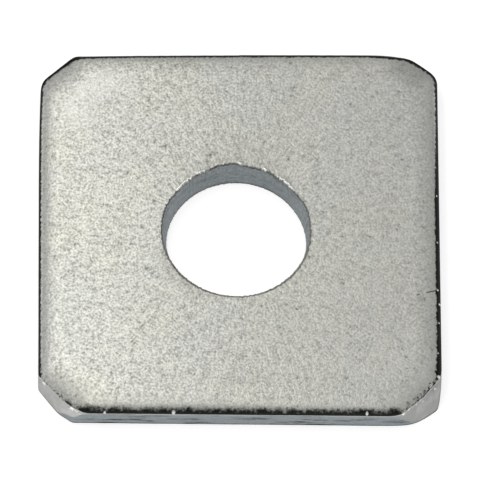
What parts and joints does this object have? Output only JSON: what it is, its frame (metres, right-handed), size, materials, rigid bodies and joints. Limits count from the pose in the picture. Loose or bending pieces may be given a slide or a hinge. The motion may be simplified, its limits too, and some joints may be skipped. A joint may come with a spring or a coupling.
{
  "type": "square plate washer",
  "caption": "Square plate washer of zinc-plated sheet steel with cut corners, rolled edges and a punched round hole, spreading a bolt's load over timber or a slot.",
  "frame": {"origin": "on the hole's axis, in the plane of the underside", "axes": "+Z along the hole's axis, from the underside to the face with rolled edges; X and Y square to the sides"},
  "size_m": [0.04, 0.04, 0.0032],
  "materials": {
    "zinc_plated_steel": "matte zinc plating with a fine grain, darker sheared walls"
  },
  "bodies": {
    "root": {"plate_washer": "zinc_plated_steel"}
  },
  "joints": []
}
